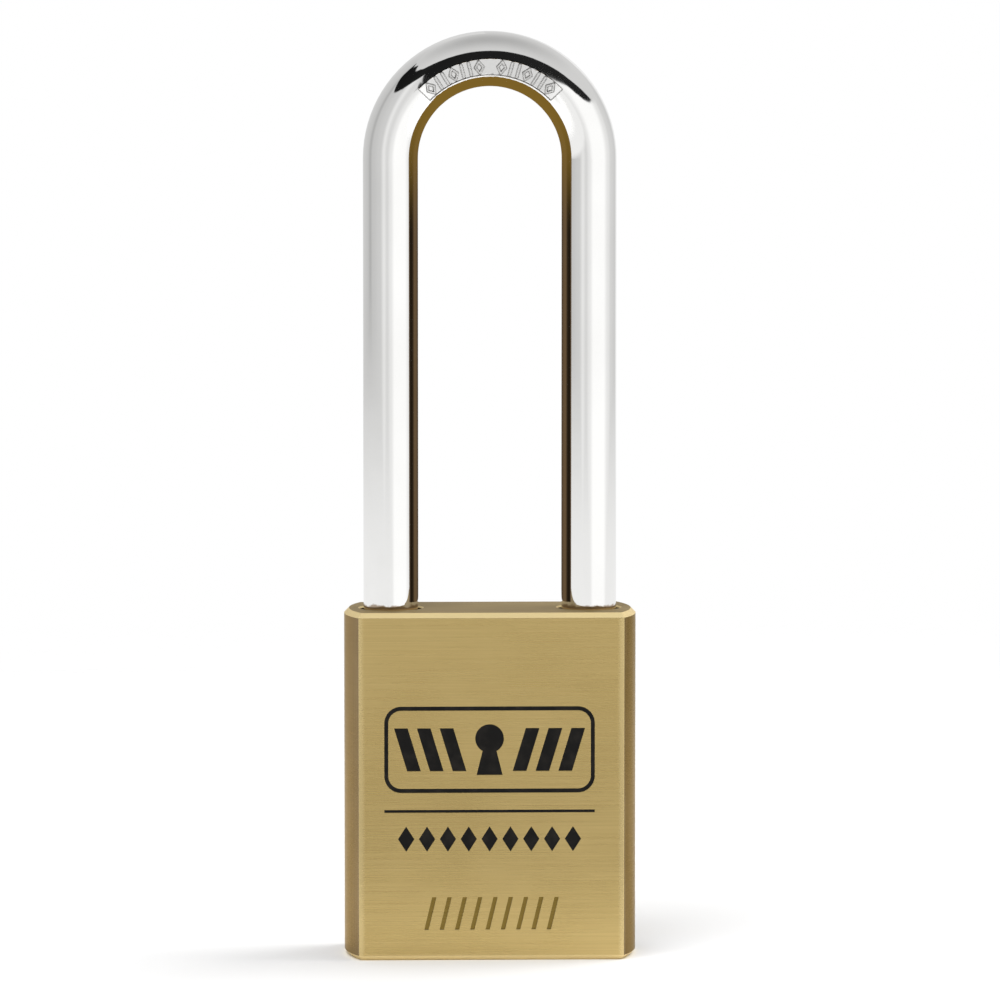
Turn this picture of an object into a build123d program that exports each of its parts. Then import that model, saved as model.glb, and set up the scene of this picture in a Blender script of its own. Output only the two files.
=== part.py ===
from build123d import *
from math import atan2, cos, degrees, radians, sin, sqrt
import os

# A long-shackle padlock: a brass block, a hardened steel shackle held by two balls, and a
# six-pin cylinder put in from below. Millimetres. The origin is the middle of the underside,
# +Z runs up through the shackle, -Y is the front face, and +X is the toe side, where the
# short leg of the shackle goes in. Everything stands as with the key in, the lock released
# and the shackle pushed home.

# ---------------------------------------------------------------- driving dimensions
# Body: a round bar cut flat at the front and the back
body_diameter = 45.0
body_depth = 19.0
body_height = 53.6
body_chamfer = 0.75
corner_radius = 0.2

# Shackle
rod_diameter = 8.45
leg_spacing = 30.54
shackle_top_z = 142.4
leg_hole_diameter = 9.66
leg_hole_chamfer = 0.25
toe_tip_z = 40.0
heel_tip_z = 25.0
heel_neck_diameter = 6.54
heel_neck_bottom_z = 28.7
heel_hole_floor_z = 9.5
toe_hole_floor_gap = 1.0
tip_chamfer = 0.9

# Ball locking
lock_z = 46.0
ball_diameter = 6.5
ball_clearance = 0.05
notch_clearance = 0.15
cross_bore_plug_setback = 0.2
locked_ball_x = 9.8
toe_ball_free_x = 7.55
heel_ball_free_x = 8.6

# Marked band round the front of the bend: a shallow flat cut into the inner half of the rod,
# with raised marks in two groups
band_start_angle = 44
band_span_angle = 92
band_outer_offset = 0.1
band_inner_offset = -2.5
band_depth = 0.1
band_corner_radius = 0.25
bend_mark_rise = 0.3
bend_mark_length = 2.35
bend_mark_width = 1.6
bend_mark_stroke = 0.42
bend_mark_offset = -1.2
bend_mark_pitch_angle = 8.3
bend_mark_gap_angle = 14
bend_mark_root = 0.3
bend_mark_edge_radius = 0.08
lozenge_stroke = 0.32
band_tool_height = 2.0

# Cylinder
housing_diameter = 16.0
housing_face_z = 0.3
housing_top_z = 31.0
rib_width = 7.6
rib_reach = 17.5
plug_diameter = 12.7
plug_top_z = 32.6
running_clearance = 0.05
fit_gap = 0.02
face_chamfer = 0.2
rib_corner_radius = 1.2
keyway_depth = 29.0
tail_inner_radius = 2.6
tail_outer_radius = 5.8
tail_half_angle = 30
tail_height = 3.6
anti_drill_radius = 0.8
anti_drill_length = 5.0
anti_drill_places = [(-2.6, -3.7), (-2.6, 3.7)]
clip_thickness = 0.8
clip_gap = 0.05
clip_groove_depth = 0.95
clip_half_angle = 150
clip_outer_radius = 7.4
screw_radius = 2.0
screw_point_radius = 1.5
screw_point_length = 2.5
screw_socket_radius = 1.15
screw_socket_depth = 2.4
screw_setback = 0.4

# Pins
pin_diameter = 2.9
pin_hole_diameter = 3.0
first_pin_z = 5.5
pin_pitch = 4.0
key_pin_lengths = [5.0, 6.5, 4.0, 6.0, 4.5, 5.5]
driver_pin_length = 5.5
chamber_plug_length = 1.1
pin_hole_floor_x = -1.3
pin_tip_radius = 0.55
pin_tip_length = 0.8
pin_top_gap = 0.15
pin_chamfer = 0.25
waist_radius = 1.05
waist_start = 1.3
waist_length = 2.6

# Springs
spring_gap = 0.05
pin_spring_radius = 1.15
pin_spring_wire_radius = 0.18
heel_spring_radius = 3.6
heel_spring_wire_radius = 0.5
cam_spring_radius = 4.9
cam_spring_wire_radius = 0.4

# Cam
cam_disc_radius = 6.4
cam_disc_bottom_z = 42.4
cam_disc_top_z = 49.6
cam_hub_radius = 3.6
cam_plate_radius = 6.2
cam_plate_thickness = 0.8
cam_end_gap = 0.5
cam_pivot_radius = 1.5
cam_pivot_length = 1.6
cam_spiral_steps = 6
pocket_gap = 0.25
lug_inner_radius = 0.8
chamber_radius = 6.6
chamber_roof_z = 50.0
lug_half_angle = 58

# Marks on the front face. The enamelled ones stand a little to the heel side
mark_depth = 0.25
enamel_mark_x = -0.3
fill_below_face = 0.04
frame_width = 32.3
frame_height = 13.3
frame_corner_radius = 2.6
frame_stroke = 0.62
frame_z = 32.6
keyhole_radius = 2.2
keyhole_rise = 1.7
keyhole_foot_width = 4.0
keyhole_foot_height = 4.4
bar_count = 3
bar_width = 2.1
bar_height = 6.6
bar_lean = 2.0
bar_pitch = 3.5
first_bar_x = 5.6
rule_z = 23.1
rule_height = 0.42
diamond_row_z = 18.8
diamond_count = 9
diamond_pitch = 3.2
diamond_width = 2.5
diamond_height = 3.9
hatch_row_z = 7.3
hatch_count = 9
hatch_pitch = 2.35
hatch_width = 0.65
hatch_height = 5.0
hatch_lean = 1.2

# ---------------------------------------------------------------- worked-out sizes
body_radius = body_diameter / 2
rod_radius = rod_diameter / 2
leg_x = leg_spacing / 2
bend_z = shackle_top_z - rod_radius - leg_x
leg_hole_radius = leg_hole_diameter / 2
heel_neck_radius = heel_neck_diameter / 2
toe_hole_floor_z = toe_tip_z - toe_hole_floor_gap
ball_radius = ball_diameter / 2
cross_bore_radius = ball_radius + ball_clearance
notch_radius = ball_radius + notch_clearance
cross_bore_plug_inner_x = leg_x + leg_hole_radius + cross_bore_plug_setback
housing_radius = housing_diameter / 2
plug_radius = plug_diameter / 2
pin_radius = pin_diameter / 2
pin_hole_radius = pin_hole_diameter / 2
pin_heights = [first_pin_z + pin_pitch * index for index in range(len(key_pin_lengths))]
key_pin_top_x = plug_radius - pin_top_gap
driver_bottom_x = plug_radius + running_clearance + fit_gap
driver_top_x = driver_bottom_x + driver_pin_length
chamber_plug_inner_x = rib_reach - chamber_plug_length
clip_groove_radius = plug_radius - clip_groove_depth
chamber_bottom_z = plug_top_z + cam_end_gap
tail_top_z = plug_top_z + tail_height
cam_plate_bottom_z = tail_top_z + cam_end_gap
cam_plate_top_z = cam_plate_bottom_z + cam_plate_thickness
screw_point_z = housing_top_z - screw_point_length
screw_top_z = toe_hole_floor_z - screw_setback

# The cam's rim, as stretches of (start angle, end angle, start radius, end radius)
toe_pocket_radius = toe_ball_free_x - ball_radius - pocket_gap
heel_pocket_radius = heel_ball_free_x - ball_radius - pocket_gap
cam_rim = [
    (0, 90, toe_pocket_radius, cam_disc_radius),
    (90, 125, cam_disc_radius, cam_disc_radius),
    (125, 145, cam_disc_radius, heel_pocket_radius),
    (145, 180, heel_pocket_radius, heel_pocket_radius),
    (180, 270, heel_pocket_radius, cam_disc_radius),
    (270, 300, cam_disc_radius, cam_disc_radius),
    (300, 325, cam_disc_radius, toe_pocket_radius),
    (325, 360, toe_pocket_radius, toe_pocket_radius),
]

# The band round the bend. Its floor is a cone: in section it runs parallel to a chord of the
# rod's circle
bend_axis = Axis((0, 0, bend_z), (0, -1, 0))
band_start_radians = radians(band_start_angle)
band_plane = Plane(
    origin=(0, 0, bend_z),
    x_dir=(cos(band_start_radians), 0, sin(band_start_radians)),
    z_dir=(-sin(band_start_radians), 0, cos(band_start_radians)),
)
band_outer_y = -sqrt(rod_radius**2 - band_outer_offset**2)
band_inner_y = -sqrt(rod_radius**2 - band_inner_offset**2)
band_slope = atan2(band_outer_y - band_inner_y, band_outer_offset - band_inner_offset)
band_width = (band_outer_offset - band_inner_offset) / cos(band_slope)
band_floor_x = leg_x + (band_outer_offset + band_inner_offset) / 2 - band_depth * sin(band_slope)
band_floor_y = (band_outer_y + band_inner_y) / 2 + band_depth * cos(band_slope)
band_floor = Location((band_floor_x, band_floor_y, 0), (0, 0, degrees(band_slope)))

# Where the marks stand in the band, in two groups of five either side of the middle
group_angles = [bend_mark_gap_angle / 2 + bend_mark_pitch_angle * index for index in range(5)]
lozenge_angles = [90 + side * angle for side in (-1, 1) for angle in group_angles[0::2]]
bar_angles = [90 + side * angle for side in (-1, 1) for angle in group_angles[1::2]]

# The front face, with its own x to the right and y up
front_face = Plane(origin=(0, -body_depth / 2, 0), x_dir=(1, 0, 0), z_dir=(0, -1, 0))
enamel_face = Plane(origin=(enamel_mark_x, -body_depth / 2, 0), x_dir=(1, 0, 0), z_dir=(0, -1, 0))

os.makedirs("parts", exist_ok=True)


# ---------------------------------------------------------------- shared shapes
def polar(radius, angle):
    """The point at a radius and an angle in degrees."""
    return (radius * cos(radians(angle)), radius * sin(radians(angle)))


def sector(plane, inner_radius, outer_radius, start_angle, end_angle):
    """A face between two radii and two angles, as seen from above."""
    with BuildSketch(plane) as face:
        with BuildLine():
            sweep_angle = end_angle - start_angle
            CenterArc((0, 0), outer_radius, start_angle, sweep_angle)
            CenterArc((0, 0), inner_radius, start_angle, sweep_angle)
            for angle in (start_angle, end_angle):
                Line(polar(inner_radius, angle), polar(outer_radius, angle))
        make_face()
    return face.sketch


def leaning_bar(width, height, lean):
    """An upright bar whose top is shifted sideways by lean."""
    with BuildSketch() as bar:
        with BuildLine():
            Polyline(
                (-width / 2 - lean / 2, -height / 2),
                (width / 2 - lean / 2, -height / 2),
                (width / 2 + lean / 2, height / 2),
                (-width / 2 + lean / 2, height / 2),
                close=True,
            )
        make_face()
    return bar.sketch


def diamond(width, height):
    """An upright diamond."""
    with BuildSketch() as face:
        with BuildLine():
            Polyline((width / 2, 0), (0, height / 2), (-width / 2, 0), (0, -height / 2), close=True)
        make_face()
    return face.sketch


def lozenge_frame(length, width, stroke):
    """An open diamond, drawn with a line."""
    with BuildSketch() as frame:
        add(diamond(length, width))
        offset(amount=-stroke, mode=Mode.SUBTRACT)
    return frame.sketch


def housing_plan(plane, clearance):
    """The cylinder housing's outline: a barrel with a rib for the pins, grown by a clearance."""
    with BuildSketch(plane) as plan:
        with Locations((rib_reach / 2, 0)):
            Rectangle(rib_reach + 2 * clearance, rib_width + 2 * clearance)
        fillet(plan.vertices().group_by(Axis.X)[-1], rib_corner_radius)
        Circle(housing_radius + clearance)
    return plan.sketch


def filled_marks(plane):
    """The enamelled marks: a frame with a keyhole sign and bars, a rule and a row of diamonds."""
    right_bar = leaning_bar(bar_width, bar_height, bar_lean)
    left_bar = leaning_bar(bar_width, bar_height, -bar_lean)
    bar_offsets = [first_bar_x + bar_pitch * index for index in range(bar_count)]
    small_diamond = diamond(diamond_width, diamond_height)
    with BuildSketch(plane) as marks:
        with Locations((0, frame_z)):
            RectangleRounded(frame_width, frame_height, frame_corner_radius)
            RectangleRounded(
                frame_width - 2 * frame_stroke,
                frame_height - 2 * frame_stroke,
                frame_corner_radius - frame_stroke,
                mode=Mode.SUBTRACT,
            )
        with Locations((0, frame_z + keyhole_rise)):
            Circle(keyhole_radius)
        with Locations((0, frame_z - keyhole_rise)):
            Trapezoid(keyhole_foot_width, keyhole_foot_height, 76)
        with Locations([(offset, frame_z) for offset in bar_offsets]):
            add(right_bar)
        with Locations([(-offset, frame_z) for offset in bar_offsets]):
            add(left_bar)
        with Locations((0, rule_z)):
            Rectangle(frame_width, rule_height)
        with Locations((0, diamond_row_z)):
            with GridLocations(diamond_pitch, 0, diamond_count, 1):
                add(small_diamond)
    return marks.sketch


def coil_spring(start, direction, length, coil_radius, wire_radius, turns):
    """A helical spring between two points, as a round wire carried along a helix."""
    with BuildPart() as spring:
        with BuildLine() as path:
            Helix(
                pitch=(length - 2 * wire_radius) / turns,
                height=length - 2 * wire_radius,
                radius=coil_radius,
                center=Vector(*start) + Vector(*direction) * wire_radius,
                direction=direction,
            )
        with BuildSketch(Plane(origin=path.wire() @ 0, z_dir=path.wire() % 0)):
            Circle(wire_radius)
        sweep(is_frenet=True)
    return spring


# ---------------------------------------------------------------- body
with BuildPart() as body:
    with BuildSketch():
        Circle(body_radius)
        Rectangle(body_diameter, body_depth, mode=Mode.INTERSECT)
    extrude(amount=body_height)
    chamfer(body.faces().filter_by(Axis.Z).edges(), body_chamfer)
    fillet(body.edges().filter_by(Axis.Z), corner_radius)

    # The deep heel hole and the shallow toe hole
    for x, floor_z in ((-leg_x, heel_hole_floor_z), (leg_x, toe_hole_floor_z)):
        with BuildSketch(Plane.XY.offset(floor_z)):
            with Locations((x, 0)):
                Circle(leg_hole_radius)
        extrude(amount=body_height - floor_z, mode=Mode.SUBTRACT)
    top_circles = body.faces().sort_by(Axis.Z)[-1].edges().filter_by(GeomType.CIRCLE)
    leg_hole_rims = top_circles.filter_by(lambda edge: edge.radius < 2 * leg_hole_radius)
    chamfer(leg_hole_rims, leg_hole_chamfer)

    # The cylinder's pocket from below, and the room above it for the clip
    extrude(housing_plan(Plane.XY, running_clearance), amount=housing_top_z, mode=Mode.SUBTRACT)
    with BuildSketch(Plane.XY.offset(housing_top_z)):
        Circle(housing_radius + running_clearance)
    extrude(amount=chamber_bottom_z - housing_top_z, mode=Mode.SUBTRACT)

    # The cam's chamber, with a blind hole for its pivot
    with BuildSketch(Plane.XY.offset(chamber_bottom_z)):
        Circle(chamber_radius)
    extrude(amount=chamber_roof_z - chamber_bottom_z, mode=Mode.SUBTRACT)
    with BuildSketch(Plane.XY.offset(chamber_roof_z)):
        Circle(cam_pivot_radius + running_clearance)
    extrude(amount=cam_pivot_length, mode=Mode.SUBTRACT)

    # The cross bore for the balls, drilled from the toe end
    with BuildSketch(Plane.YZ.offset(-leg_x)):
        with Locations((0, lock_z)):
            Circle(cross_bore_radius)
    extrude(amount=leg_x + body_diameter, mode=Mode.SUBTRACT)

    # The hole for the screw that holds the cylinder
    with BuildSketch(Plane.XY.offset(housing_top_z)):
        with Locations((leg_x, 0)):
            Circle(screw_radius)
    extrude(amount=toe_hole_floor_z - housing_top_z, mode=Mode.SUBTRACT)

    # Marks cut into the front
    extrude(filled_marks(enamel_face), amount=-mark_depth, mode=Mode.SUBTRACT)
    stroke = leaning_bar(hatch_width, hatch_height, hatch_lean)
    with BuildSketch(front_face):
        with Locations((0, hatch_row_z)):
            with GridLocations(hatch_pitch, 0, hatch_count, 1):
                add(stroke)
    extrude(amount=-mark_depth, mode=Mode.SUBTRACT)
body.part.label = "body"
export_step(body.part, "parts/body.step")

# ---------------------------------------------------------------- enamel in the front marks
with BuildPart() as front_mark_enamel:
    extrude(filled_marks(enamel_face.offset(-mark_depth)), amount=mark_depth - fill_below_face)
front_mark_enamel.part.label = "front_mark_enamel"
export_step(front_mark_enamel.part, "parts/front_mark_enamel.step")

# ---------------------------------------------------------------- shackle
open_lozenge = lozenge_frame(bend_mark_length, bend_mark_width, lozenge_stroke)
with BuildPart() as bend_marks:
    with BuildSketch(band_plane):
        with Locations(band_floor):
            with Locations((0, (bend_mark_root - bend_mark_rise) / 2)):
                Rectangle(2 * band_width, bend_mark_root + bend_mark_rise)
    revolve(axis=bend_axis, revolution_arc=band_span_angle)
    with BuildSketch(Plane.XZ):
        with Locations((0, bend_z)):
            for angle in lozenge_angles:
                with PolarLocations(leg_x + bend_mark_offset, 1, angle):
                    add(open_lozenge)
            for angle in bar_angles:
                with PolarLocations(leg_x + bend_mark_offset, 1, angle):
                    with GridLocations(0, bend_mark_width - bend_mark_stroke, 1, 2):
                        SlotOverall(bend_mark_length, bend_mark_stroke)
    extrude(amount=rod_diameter, mode=Mode.INTERSECT)
    mark_tops = bend_marks.faces().filter_by(GeomType.CONE)
    mark_tops = mark_tops.filter_by(lambda face: face.center().Y < band_floor_y)
    fillet(mark_tops.edges(), bend_mark_edge_radius)

with BuildPart() as shackle:
    for x, tip_z in ((-leg_x, heel_tip_z), (leg_x, toe_tip_z)):
        with BuildSketch(Plane.XY.offset(tip_z)):
            with Locations((x, 0)):
                Circle(rod_radius)
        extrude(amount=bend_z - tip_z)
    tip_rims = shackle.edges().filter_by(lambda edge: edge.center().Z < toe_tip_z + 0.01)
    chamfer(tip_rims.filter_by(GeomType.CIRCLE), tip_chamfer)
    with BuildSketch(Plane.XY.offset(bend_z)):
        with Locations((leg_x, 0)):
            Circle(rod_radius)
    revolve(axis=bend_axis, revolution_arc=180)

    # The turned neck on the heel leg, which keeps the shackle in when it is lifted
    with BuildSketch(Plane.XY.offset(heel_neck_bottom_z)):
        with Locations((-leg_x, 0)):
            Circle(rod_diameter)
            Circle(heel_neck_radius, mode=Mode.SUBTRACT)
    extrude(amount=lock_z - heel_neck_bottom_z, mode=Mode.SUBTRACT)

    # The two notches that the balls are pushed into
    with BuildSketch(Plane.XZ):
        with Locations((-locked_ball_x, lock_z), (locked_ball_x, lock_z)):
            Circle(notch_radius)
    extrude(amount=rod_diameter, both=True, mode=Mode.SUBTRACT)

    # The band cut into the front of the bend, and the marks that stand in it
    with BuildSketch(band_plane):
        with Locations(band_floor):
            with Locations((0, -band_tool_height / 2)):
                RectangleRounded(band_width, band_tool_height, band_corner_radius)
    revolve(axis=bend_axis, revolution_arc=band_span_angle, mode=Mode.SUBTRACT)
    add(bend_marks.part)
shackle.part.label = "shackle"
export_step(shackle.part, "parts/shackle.step")

# ---------------------------------------------------------------- locking balls
with BuildPart() as toe_ball:
    with Locations((toe_ball_free_x, 0, lock_z)):
        Sphere(ball_radius)
toe_ball.part.label = "toe_ball"
export_step(toe_ball.part, "parts/toe_ball.step")

with BuildPart() as heel_ball:
    with Locations((-heel_ball_free_x, 0, lock_z)):
        Sphere(ball_radius)
heel_ball.part.label = "heel_ball"
export_step(heel_ball.part, "parts/heel_ball.step")

# ---------------------------------------------------------------- plug that closes the cross bore
with BuildPart() as cross_bore_plug:
    with BuildSketch(Plane.YZ.offset(cross_bore_plug_inner_x)):
        with Locations((0, lock_z)):
            Circle(cross_bore_radius)
    extrude(amount=body_radius - cross_bore_plug_inner_x)
    with BuildSketch():
        Circle(body_radius)
    extrude(amount=body_height, mode=Mode.INTERSECT)
cross_bore_plug.part.label = "cross_bore_plug"
export_step(cross_bore_plug.part, "parts/cross_bore_plug.step")

# ---------------------------------------------------------------- locking cam
# Its rim lets each ball in at one angle, and climbs in a spiral to push it out a quarter
# turn later. Angles are in degrees in the cam's own frame, with the toe ball at 0.
with BuildPart() as locking_cam:
    with BuildSketch(Plane.XY.offset(cam_disc_bottom_z)):
        with BuildLine():
            for start_angle, end_angle, start_radius, end_radius in cam_rim:
                steps = [step / cam_spiral_steps for step in range(cam_spiral_steps + 1)]
                Spline(
                    *[
                        polar(
                            start_radius + (end_radius - start_radius) * step,
                            start_angle + (end_angle - start_angle) * step,
                        )
                        for step in steps
                    ]
                )
        make_face()
    extrude(amount=cam_disc_top_z - cam_disc_bottom_z)
    with BuildSketch(Plane.XY.offset(cam_plate_top_z)):
        Circle(cam_hub_radius)
    extrude(amount=cam_disc_bottom_z - cam_plate_top_z)
    with BuildSketch(Plane.XY.offset(cam_plate_bottom_z)):
        Circle(cam_plate_radius)
    extrude(amount=cam_plate_top_z - cam_plate_bottom_z)
    with BuildSketch(Plane.XY.offset(cam_disc_top_z)):
        Circle(cam_pivot_radius)
    extrude(amount=cam_pivot_length)
    lug_plane = Plane.XY.offset(chamber_bottom_z)
    add(sector(lug_plane, lug_inner_radius, cam_plate_radius, 180 - lug_half_angle, 180 + lug_half_angle))
    extrude(amount=cam_plate_bottom_z - chamber_bottom_z)
locking_cam.part.label = "locking_cam"
export_step(locking_cam.part, "parts/locking_cam.step")

# ---------------------------------------------------------------- cylinder plug
with BuildPart() as cylinder_plug:
    with BuildSketch(Plane.XY.offset(housing_face_z)):
        Circle(plug_radius)
    extrude(amount=plug_top_z - housing_face_z)
    chamfer(cylinder_plug.faces().sort_by(Axis.Z)[0].edges(), face_chamfer)
    with BuildSketch(Plane.XY.offset(housing_top_z)):
        Circle(plug_diameter)
        Circle(clip_groove_radius, mode=Mode.SUBTRACT)
    extrude(amount=clip_thickness + 2 * clip_gap, mode=Mode.SUBTRACT)

    # The tail that turns the cam's lug after a quarter turn of free play
    tail_plane = Plane.XY.offset(plug_top_z)
    add(sector(tail_plane, tail_inner_radius, tail_outer_radius, -tail_half_angle, tail_half_angle))
    extrude(amount=tail_top_z - plug_top_z)

    # The warded keyway, with its pin side towards +X
    with BuildSketch(Plane.XY.offset(housing_face_z)):
        with BuildLine():
            Polyline(
                (-5.0, -0.9),
                (-3.2, -0.9),
                (-3.2, -0.3),
                (-1.8, -0.3),
                (-1.8, -1.1),
                (0.8, -1.1),
                (0.8, -0.5),
                (3.6, -0.5),
                (3.6, 1.1),
                (1.9, 1.1),
                (1.9, 0.5),
                (-0.5, 0.5),
                (-0.5, 1.1),
                (-2.6, 1.1),
                (-2.6, 0.5),
                (-5.0, 0.5),
                close=True,
            )
        make_face()
    extrude(amount=keyway_depth, mode=Mode.SUBTRACT)

    with BuildSketch(Plane.YZ.offset(pin_hole_floor_x)):
        with Locations([(0, z) for z in pin_heights]):
            Circle(pin_hole_radius)
    extrude(amount=plug_diameter, mode=Mode.SUBTRACT)

    with BuildSketch(Plane.XY.offset(housing_face_z)):
        with Locations(anti_drill_places):
            Circle(anti_drill_radius + fit_gap)
    extrude(amount=anti_drill_length, mode=Mode.SUBTRACT)
cylinder_plug.part.label = "cylinder_plug"
export_step(cylinder_plug.part, "parts/cylinder_plug.step")

# ---------------------------------------------------------------- hardened pins in the plug's face
with BuildPart() as anti_drill_pins:
    with BuildSketch(Plane.XY.offset(housing_face_z)):
        with Locations(anti_drill_places):
            Circle(anti_drill_radius)
    extrude(amount=anti_drill_length)
anti_drill_pins.part.label = "anti_drill_pins"
export_step(anti_drill_pins.part, "parts/anti_drill_pins.step")

# ---------------------------------------------------------------- clip that keeps the plug in
with BuildPart() as plug_retaining_clip:
    clip_plane = Plane.XY.offset(housing_top_z + clip_gap)
    clip_inner_radius = clip_groove_radius + clip_gap
    add(sector(clip_plane, clip_inner_radius, clip_outer_radius, -clip_half_angle, clip_half_angle))
    extrude(amount=clip_thickness)
plug_retaining_clip.part.label = "plug_retaining_clip"
export_step(plug_retaining_clip.part, "parts/plug_retaining_clip.step")

# ---------------------------------------------------------------- cylinder housing
with BuildPart() as cylinder_housing:
    extrude(housing_plan(Plane.XY.offset(housing_face_z), 0), amount=housing_top_z - housing_face_z)
    chamfer(cylinder_housing.faces().sort_by(Axis.Z)[0].edges(), face_chamfer)
    with BuildSketch(Plane.XY.offset(housing_face_z)):
        Circle(plug_radius + running_clearance)
    extrude(amount=housing_top_z - housing_face_z, mode=Mode.SUBTRACT)
    with BuildSketch(Plane.YZ):
        with Locations([(0, z) for z in pin_heights]):
            Circle(pin_hole_radius)
    extrude(amount=rib_reach, mode=Mode.SUBTRACT)
    with BuildSketch(Plane.XY.offset(screw_point_z)):
        with Locations((leg_x, 0)):
            Circle(screw_point_radius + running_clearance)
    extrude(amount=housing_top_z - screw_point_z, mode=Mode.SUBTRACT)
cylinder_housing.part.label = "cylinder_housing"
export_step(cylinder_housing.part, "parts/cylinder_housing.step")

# ---------------------------------------------------------------- screw that holds the cylinder in
with BuildPart() as cylinder_retaining_screw:
    with BuildSketch(Plane.XY.offset(housing_top_z)):
        with Locations((leg_x, 0)):
            Circle(screw_radius - fit_gap)
    extrude(amount=screw_top_z - housing_top_z)
    with BuildSketch(Plane.XY.offset(screw_point_z + fit_gap)):
        with Locations((leg_x, 0)):
            Circle(screw_point_radius)
    extrude(amount=housing_top_z - screw_point_z)
    with BuildSketch(Plane.XY.offset(screw_top_z)):
        with Locations((leg_x, 0)):
            RegularPolygon(screw_socket_radius, 6)
    extrude(amount=-screw_socket_depth, mode=Mode.SUBTRACT)
cylinder_retaining_screw.part.label = "cylinder_retaining_screw"
export_step(cylinder_retaining_screw.part, "parts/cylinder_retaining_screw.step")

# ---------------------------------------------------------------- brass plugs over the pin chambers
with BuildPart() as pin_chamber_plugs:
    with BuildSketch(Plane.YZ.offset(chamber_plug_inner_x)):
        with Locations([(0, z) for z in pin_heights]):
            Circle(pin_hole_radius - fit_gap)
    extrude(amount=chamber_plug_length)
pin_chamber_plugs.part.label = "pin_chamber_plugs"
export_step(pin_chamber_plugs.part, "parts/pin_chamber_plugs.step")

# ---------------------------------------------------------------- pins and their springs
for index, (z, length) in enumerate(zip(pin_heights, key_pin_lengths), start=1):
    # A key pin with a pointed tip towards the key
    with BuildPart() as key_pin:
        with BuildSketch(Plane.XZ):
            with BuildLine():
                Polyline(
                    (key_pin_top_x - length, z),
                    (key_pin_top_x - length, z + pin_tip_radius),
                    (key_pin_top_x - length + pin_tip_length, z + pin_radius),
                    (key_pin_top_x - pin_chamfer, z + pin_radius),
                    (key_pin_top_x, z + pin_radius - pin_chamfer),
                    (key_pin_top_x, z),
                    close=True,
                )
            make_face()
        revolve(axis=Axis((0, 0, z), (1, 0, 0)))
    key_pin.part.label = f"key_pin_{index}"
    export_step(key_pin.part, f"parts/key_pin_{index}.step")

    # A driver pin with a narrow waist, so that it binds when it is picked
    with BuildPart() as driver_pin:
        with BuildSketch(Plane.YZ.offset(driver_bottom_x)):
            with Locations((0, z)):
                Circle(pin_radius)
        extrude(amount=driver_pin_length)
        chamfer(driver_pin.edges(), pin_chamfer)
        with BuildSketch(Plane.YZ.offset(driver_bottom_x + waist_start)):
            with Locations((0, z)):
                Circle(pin_diameter)
                Circle(waist_radius, mode=Mode.SUBTRACT)
        extrude(amount=waist_length, mode=Mode.SUBTRACT)
    driver_pin.part.label = f"driver_pin_{index}"
    export_step(driver_pin.part, f"parts/driver_pin_{index}.step")

    pin_spring = coil_spring(
        start=(driver_top_x + spring_gap, 0, z),
        direction=(1, 0, 0),
        length=chamber_plug_inner_x - driver_top_x - 2 * spring_gap,
        coil_radius=pin_spring_radius,
        wire_radius=pin_spring_wire_radius,
        turns=6,
    )
    pin_spring.part.label = f"pin_spring_{index}"
    export_step(pin_spring.part, f"parts/pin_spring_{index}.step")

# ---------------------------------------------------------------- shackle and cam springs
heel_spring = coil_spring(
    start=(-leg_x, 0, heel_hole_floor_z + spring_gap),
    direction=(0, 0, 1),
    length=heel_tip_z - heel_hole_floor_z - 2 * spring_gap,
    coil_radius=heel_spring_radius,
    wire_radius=heel_spring_wire_radius,
    turns=7,
)
heel_spring.part.label = "heel_spring"
export_step(heel_spring.part, "parts/heel_spring.step")

cam_return_spring = coil_spring(
    start=(0, 0, cam_plate_top_z + spring_gap),
    direction=(0, 0, 1),
    length=cam_disc_bottom_z - cam_plate_top_z - 2 * spring_gap,
    coil_radius=cam_spring_radius,
    wire_radius=cam_spring_wire_radius,
    turns=4,
)
cam_return_spring.part.label = "cam_return_spring"
export_step(cam_return_spring.part, "parts/cam_return_spring.step")
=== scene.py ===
"""Looks of a long-shackle padlock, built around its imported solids.

The solids hold every size and place. This script gives each of them its finish, and sets up
the floor, the light and the camera. Metres, in the frame of the solids: +Z up through the
shackle, -Y out of the front, +X at the toe side.
"""

import logging
import math
from dataclasses import dataclass, field
from enum import Enum

import bpy
import numpy as np
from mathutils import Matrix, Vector


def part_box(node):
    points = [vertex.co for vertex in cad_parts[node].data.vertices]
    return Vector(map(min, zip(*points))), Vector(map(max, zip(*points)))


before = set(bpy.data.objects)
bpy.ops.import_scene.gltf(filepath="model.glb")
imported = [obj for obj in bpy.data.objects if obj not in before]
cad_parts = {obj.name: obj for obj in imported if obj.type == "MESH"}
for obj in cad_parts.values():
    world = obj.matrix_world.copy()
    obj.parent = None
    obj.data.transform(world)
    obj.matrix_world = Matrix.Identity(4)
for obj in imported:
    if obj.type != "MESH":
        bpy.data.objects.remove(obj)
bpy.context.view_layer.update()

LOG = logging.getLogger("padlock")
MM = 0.001

Triple = tuple[float, float, float]


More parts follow.
